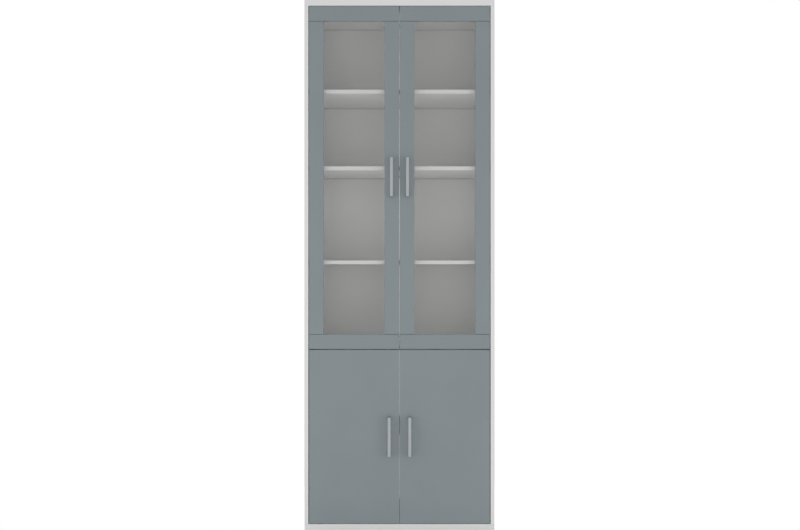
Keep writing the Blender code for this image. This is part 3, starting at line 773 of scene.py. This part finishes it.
def combined(first, others, operation):
    """One form joined with, or cut by, the others."""
    piece = as_object("work_piece", first)
    tools = [as_object(f"work_tool_{index}", form) for index, form in enumerate(others)]
    for tool in tools:
        step = piece.modifiers.new(tool.name, "BOOLEAN")
        step.object = tool
        step.operation = operation
    graph = bpy.context.evaluated_depsgraph_get()
    mesh = bpy.data.meshes.new_from_object(piece.evaluated_get(graph))
    form = bmesh.new()
    form.from_mesh(mesh)
    bmesh.ops.remove_doubles(form, verts=form.verts, dist=MERGE_GAP)
    bpy.data.meshes.remove(mesh)
    for done in (piece, *tools):
        spare = done.data
        bpy.data.objects.remove(done)
        bpy.data.meshes.remove(spare)
    return form


def add_piece(name, form, finish, body, stands_for=None):
    """A fitting that rides on a body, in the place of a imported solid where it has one.

    Its curves are shaded round, and its flat faces stay flat between them.
    """
    piece = as_object(name, form)
    piece.data.materials.append(finish)
    piece.data.shade_smooth()
    piece.data.set_sharp_from_angle(angle=SHARP_ANGLE)
    piece.modifiers.new("level_faces", "WEIGHTED_NORMAL").keep_sharp = True
    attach(piece, body)
    if stands_for:
        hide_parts(stands_for)


def make_handle(door, finishes):
    """A square bar with a leg at each end, made in one piece with softly rounded edges."""
    node = f"{door}_handle"
    low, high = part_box(node)
    grip = low.y + BAR_DEPTH
    outline = [
        (low.y, low.z),
        (high.y, low.z),
        (high.y, low.z + LEG_HEIGHT),
        (grip, low.z + LEG_HEIGHT),
        (grip, high.z - LEG_HEIGHT),
        (high.y, high.z - LEG_HEIGHT),
        (high.y, high.z),
        (low.y, high.z),
    ]
    form = extruded([(low.x, depth, height) for depth, height in outline], (high.x - low.x, 0, 0))
    bmesh.ops.bevel(form, geom=form.edges[:], offset=BAR_EDGE, segments=BAR_EDGE_STEPS, affect="EDGES")
    add_piece(f"{door}_bar_handle", form, finishes["satin_nickel"], body_of(node), node)


def make_screw(node, finishes):
    """A pan-head screw with a cross recess, seen from inside the cabinet."""
    low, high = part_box(node)
    rim = (high.x - low.x) / 2
    centre = Vector(((low.x + high.x) / 2, low.y, (low.z + high.z) / 2))
    length = high.y - low.y
    seat = length - SCREW_HEAD
    shank = [(0, 0), (SCREW_SHANK - SCREW_TIP, 0), (SCREW_SHANK, SCREW_TIP), (SCREW_SHANK, seat)]
    dome = crown(rim, seat + SCREW_RIM, SCREW_HEAD - SCREW_RIM, ROUND_STEPS)
    lying = Matrix.Translation(centre) @ Matrix.Rotation(-QUARTER_TURN, 4, "X")
    head = turned([*shank, (rim, seat), *dome, (0, length)], SCREW_SIDES, lying)
    half_reach, half_width = RECESS_REACH / 2, RECESS_WIDTH / 2
    sizes = ((half_reach, half_width), (half_width, half_reach))
    slots = []
    for across, up in sizes:
        start = Vector((centre.x - across, high.y - RECESS_DEPTH, centre.z - up))
        end = Vector((centre.x + across, high.y + RECESS_DEPTH, centre.z + up))
        slots.append(slab(start, end))
    form = combined(head, slots, "DIFFERENCE")
    name = node.replace("handle_screw", "pan_screw")
    add_piece(name, form, finishes["steel"], body_of(node), node)


def make_magnets(catch, finishes):
    """Two magnets let into a catch's front, each between a pair of steel pole plates."""
    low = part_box(catch)[0]
    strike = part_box(f"{catch.split('_')[0]}_left_strike")
    level = (strike[0].z + strike[1].z) / 2
    front, back = low.y - POLE_PROUD, low.y + POLE_SINK
    half, reach = MAGNET_WIDTH / 2, POLE_HEIGHT / 2
    plates, blocks = [], []
    for centre in (-MAGNET_SPACING / 2, MAGNET_SPACING / 2):
        for edge, inner in ((-reach, POLE_PLATE - reach), (reach - POLE_PLATE, reach)):
            start = (centre - half, front, level + edge)
            end = (centre + half, back, level + inner)
            plates.append(slab(start, end, MAGNET_EDGE))
        start = (centre - half, low.y - MAGNET_PROUD, level - reach + POLE_PLATE)
        end = (centre + half, back, level + reach - POLE_PLATE)
        blocks.append(slab(start, end, MAGNET_EDGE))
    body = body_of(catch)
    add_piece(f"{catch}_pole_plates", gathered(plates), finishes["steel"], body)
    add_piece(f"{catch}_magnets", gathered(blocks), finishes["magnet"], body)


def cover_form(matrix):
    """A shallow domed disc that hides a cam lock."""
    foot = [(0, -COVER_SEAT), (COVER_RADIUS, -COVER_SEAT)]
    centre = (COVER_RADIUS - COVER_EASE, COVER_HEIGHT - COVER_EASE)
    edge = arc(centre, COVER_EASE, 0, 90, ROUND_STEPS)
    return turned([*foot, *edge, (0, COVER_HEIGHT)], COVER_SIDES, matrix)


def make_cam_covers(finishes):
    """Covers over the cam locks: on the sides near their ends, and under the middle board."""
    side_low, side_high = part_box("right_side")
    floor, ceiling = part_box("bottom_board")[1].z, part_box("top_board")[0].z
    inner = inner_face()
    rows = (side_low.y + COVER_TO_FRONT, side_high.y - COVER_TO_FRONT)
    plastic, body = finishes["catch_plastic"], body_of("right_side")
    for word, hand in (("left", -1), ("right", 1)):
        turn = Matrix.Rotation(-hand * QUARTER_TURN, 4, "Y")
        spots = [
            Vector((hand * inner, depth, height))
            for depth in rows
            for height in (floor + COVER_TO_END, ceiling - COVER_TO_END)
        ]
        forms = [cover_form(Matrix.Translation(spot) @ turn) for spot in spots]
        add_piece(f"{word}_side_cam_covers", gathered(forms), plastic, body)
    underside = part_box("middle_board")[0].z
    over = Matrix.Rotation(2 * QUARTER_TURN, 4, "X")
    spots = [
        Vector((hand * (inner - COVER_TO_END), depth, underside)) for hand in (-1, 1) for depth in rows
    ]
    forms = [cover_form(Matrix.Translation(spot) @ over) for spot in spots]
    add_piece("middle_board_cam_covers", gathered(forms), plastic, body)


def strip_form(depth, low, high):
    """A low flat strip with rounded edges on the back panel's face, between two heights."""
    half = STRIP_WIDTH / 2
    edge = arc((half - STRIP_RISE, 0), STRIP_RISE, 0, 90, STRIP_STEPS)
    right = [(across, depth - rise) for across, rise in edge]
    left = [(-across, height) for across, height in reversed(right)]
    outline = [(half, depth + STRIP_SEAT), *right, *left, (-half, depth + STRIP_SEAT)]
    return extruded([(across, along, low) for across, along in outline], (0, 0, high - low))


def make_back_strip(finishes):
    """The strip over the back panel's fold, in one length above and one below the middle board."""
    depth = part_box("back_panel")[0].y
    middle_low, middle_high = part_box("middle_board")
    floor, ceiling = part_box("bottom_board")[1].z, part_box("top_board")[0].z
    forms = [strip_form(depth, floor, middle_low.z), strip_form(depth, middle_high.z, ceiling)]
    body = body_of("back_panel")
    add_piece("back_panel_strip", gathered(forms), finishes["strip"], body)


def spread(start, end, count):
    """Places spread evenly from a start to an end."""
    return [start + (end - start) * step / (count - 1) for step in range(count)]


def make_nails(finishes):
    """Nail heads round the back panel, over the boards that it is nailed to."""
    low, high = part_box("back_panel")
    dome = crown(NAIL_RADIUS, NAIL_RIM, NAIL_HEIGHT - NAIL_RIM, NAIL_STEPS)
    profile = [(0, -NAIL_HEIGHT), (NAIL_RADIUS, 0), *dome, (0, NAIL_HEIGHT)]
    backward = Matrix.Rotation(-QUARTER_TURN, 4, "X")
    left, right = low.x + NAIL_INSET, high.x - NAIL_INSET
    bottom, top = low.z + NAIL_INSET, high.z - NAIL_INSET
    heights = spread(low.z + NAIL_END_MARGIN, high.z - NAIL_END_MARGIN, NAILS_DOWN)
    middles = spread(low.x + NAIL_END_MARGIN, high.x - NAIL_END_MARGIN, NAILS_ACROSS)
    spots = [(across, height) for across in (left, right) for height in heights]
    spots += [(across, height) for across in middles for height in (bottom, top)]
    board_low, board_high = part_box("middle_board")
    spots += [(across, (board_low.z + board_high.z) / 2) for across in middles]
    forms = []
    for across, height in spots:
        seat = Matrix.Translation((across, high.y, height))
        forms.append(turned(profile, NAIL_SIDES, seat @ backward))
    add_piece("back_panel_nails", gathered(forms), finishes["steel"], body_of("back_panel"))


def seen_rays(shader):
    """1 for rays that show a thing to the camera, in a mirror or through glass, and 0 for its light."""
    paths = shader.node("LightPath").socket.node.outputs
    camera, glossy, through = (
        Shade(shader, paths[name])
        for name in ("Is Camera Ray", "Is Glossy Ray", "Is Transmission Ray")
    )
    return camera.or_else(glossy).or_else(through)


def make_world():
    """An even white studio."""
    world = bpy.data.worlds.new("white_studio")
    world.use_nodes = True
    bpy.context.scene.world = world
    shader = Shader(world.node_tree)
    seen = seen_rays(shader)
    strength = seen * SEEN_WHITE + (1 - seen) * SKY_LIGHT
    shader.feed(world.node_tree.nodes["Background"].inputs["Color"], (1.0, 1.0, 1.0))
    shader.feed(world.node_tree.nodes["Background"].inputs["Strength"], strength)


def make_lamp(name, place, size, power):
    """A soft square lamp, turned level towards the cabinet's middle."""
    light = bpy.data.lights.new(name, "AREA")
    light.size = size
    light.energy = power
    lamp = bpy.data.objects.new(name, light)
    across, distance, height = place
    lamp.location = (across, cabinet_front() - distance, height)
    lamp.rotation_euler = (QUARTER_TURN, 0, math.atan2(across, distance))
    lamp.visible_camera = False
    lamp.visible_glossy = False
    bpy.context.scene.collection.objects.link(lamp)


def make_lamps():
    """A low lamp in front, which reaches up under the shelves, and one to each side."""
    front_place = (0, FRONT_LAMP_DISTANCE, FRONT_LAMP_HEIGHT)
    make_lamp("front_softbox", front_place, FRONT_LAMP_SIZE, FRONT_LAMP_POWER)
    for word, hand in (("left", -1), ("right", 1)):
        place = (hand * SIDE_LAMP_REACH, SIDE_LAMP_DISTANCE, SIDE_LAMP_HEIGHT)
        make_lamp(f"{word}_softbox", place, SIDE_LAMP_SIZE, SIDE_LAMP_POWER)


def make_floor():
    """A pale floor that reads white and keeps the cabinet's shadow."""
    form = bmesh.new()
    bmesh.ops.create_grid(form, x_segments=1, y_segments=1, size=FLOOR_REACH)
    floor = as_object("floor", form)
    floor.location.z = -FLOOR_DROP
    finish = Finish("pale_floor", Emission_Strength=1.0)
    seen = seen_rays(finish)
    finish.feed(finish.surface.inputs["Emission Color"], seen * FLOOR_LIFT)
    mottle = finish.noise(finish.place(), FLOOR_PITCH, detail=3.0)
    tone = FLOOR_TONE + FLOOR_MOTTLE * (mottle - 0.5)
    floor.data.materials.append(finish.give(tone, FLOOR_ROUGHNESS))


def make_camera():
    """The camera, level in front of the cabinet."""
    camera = bpy.data.objects.new("camera", bpy.data.cameras.new("camera"))
    camera.data.lens = CAMERA_LENS
    camera.data.sensor_width = CAMERA_SENSOR
    camera.location = (CAMERA_SIDE, cabinet_front() - CAMERA_DISTANCE, CAMERA_HEIGHT)
    camera.rotation_euler = (QUARTER_TURN, 0, 0)
    bpy.context.scene.collection.objects.link(camera)
    bpy.context.scene.camera = camera


def make_fittings(finishes):
    """Every piece that is made here, door by door and then in the carcass."""
    for door in ("upper_left", "upper_right", "lower_left", "lower_right"):
        make_handle(door, finishes)
        for word in ("high", "low"):
            make_screw(f"{door}_handle_screw_{word}", finishes)
    for catch in ("upper_catch", "lower_catch"):
        make_magnets(catch, finishes)
    make_cam_covers(finishes)
    make_back_strip(finishes)
    make_nails(finishes)


bpy.context.scene.view_settings.view_transform = "Standard"
finishes = make_finishes()
finish_solids(finishes)
join_facets()
make_fittings(finishes)
make_world()
make_lamps()
make_floor()
make_camera()
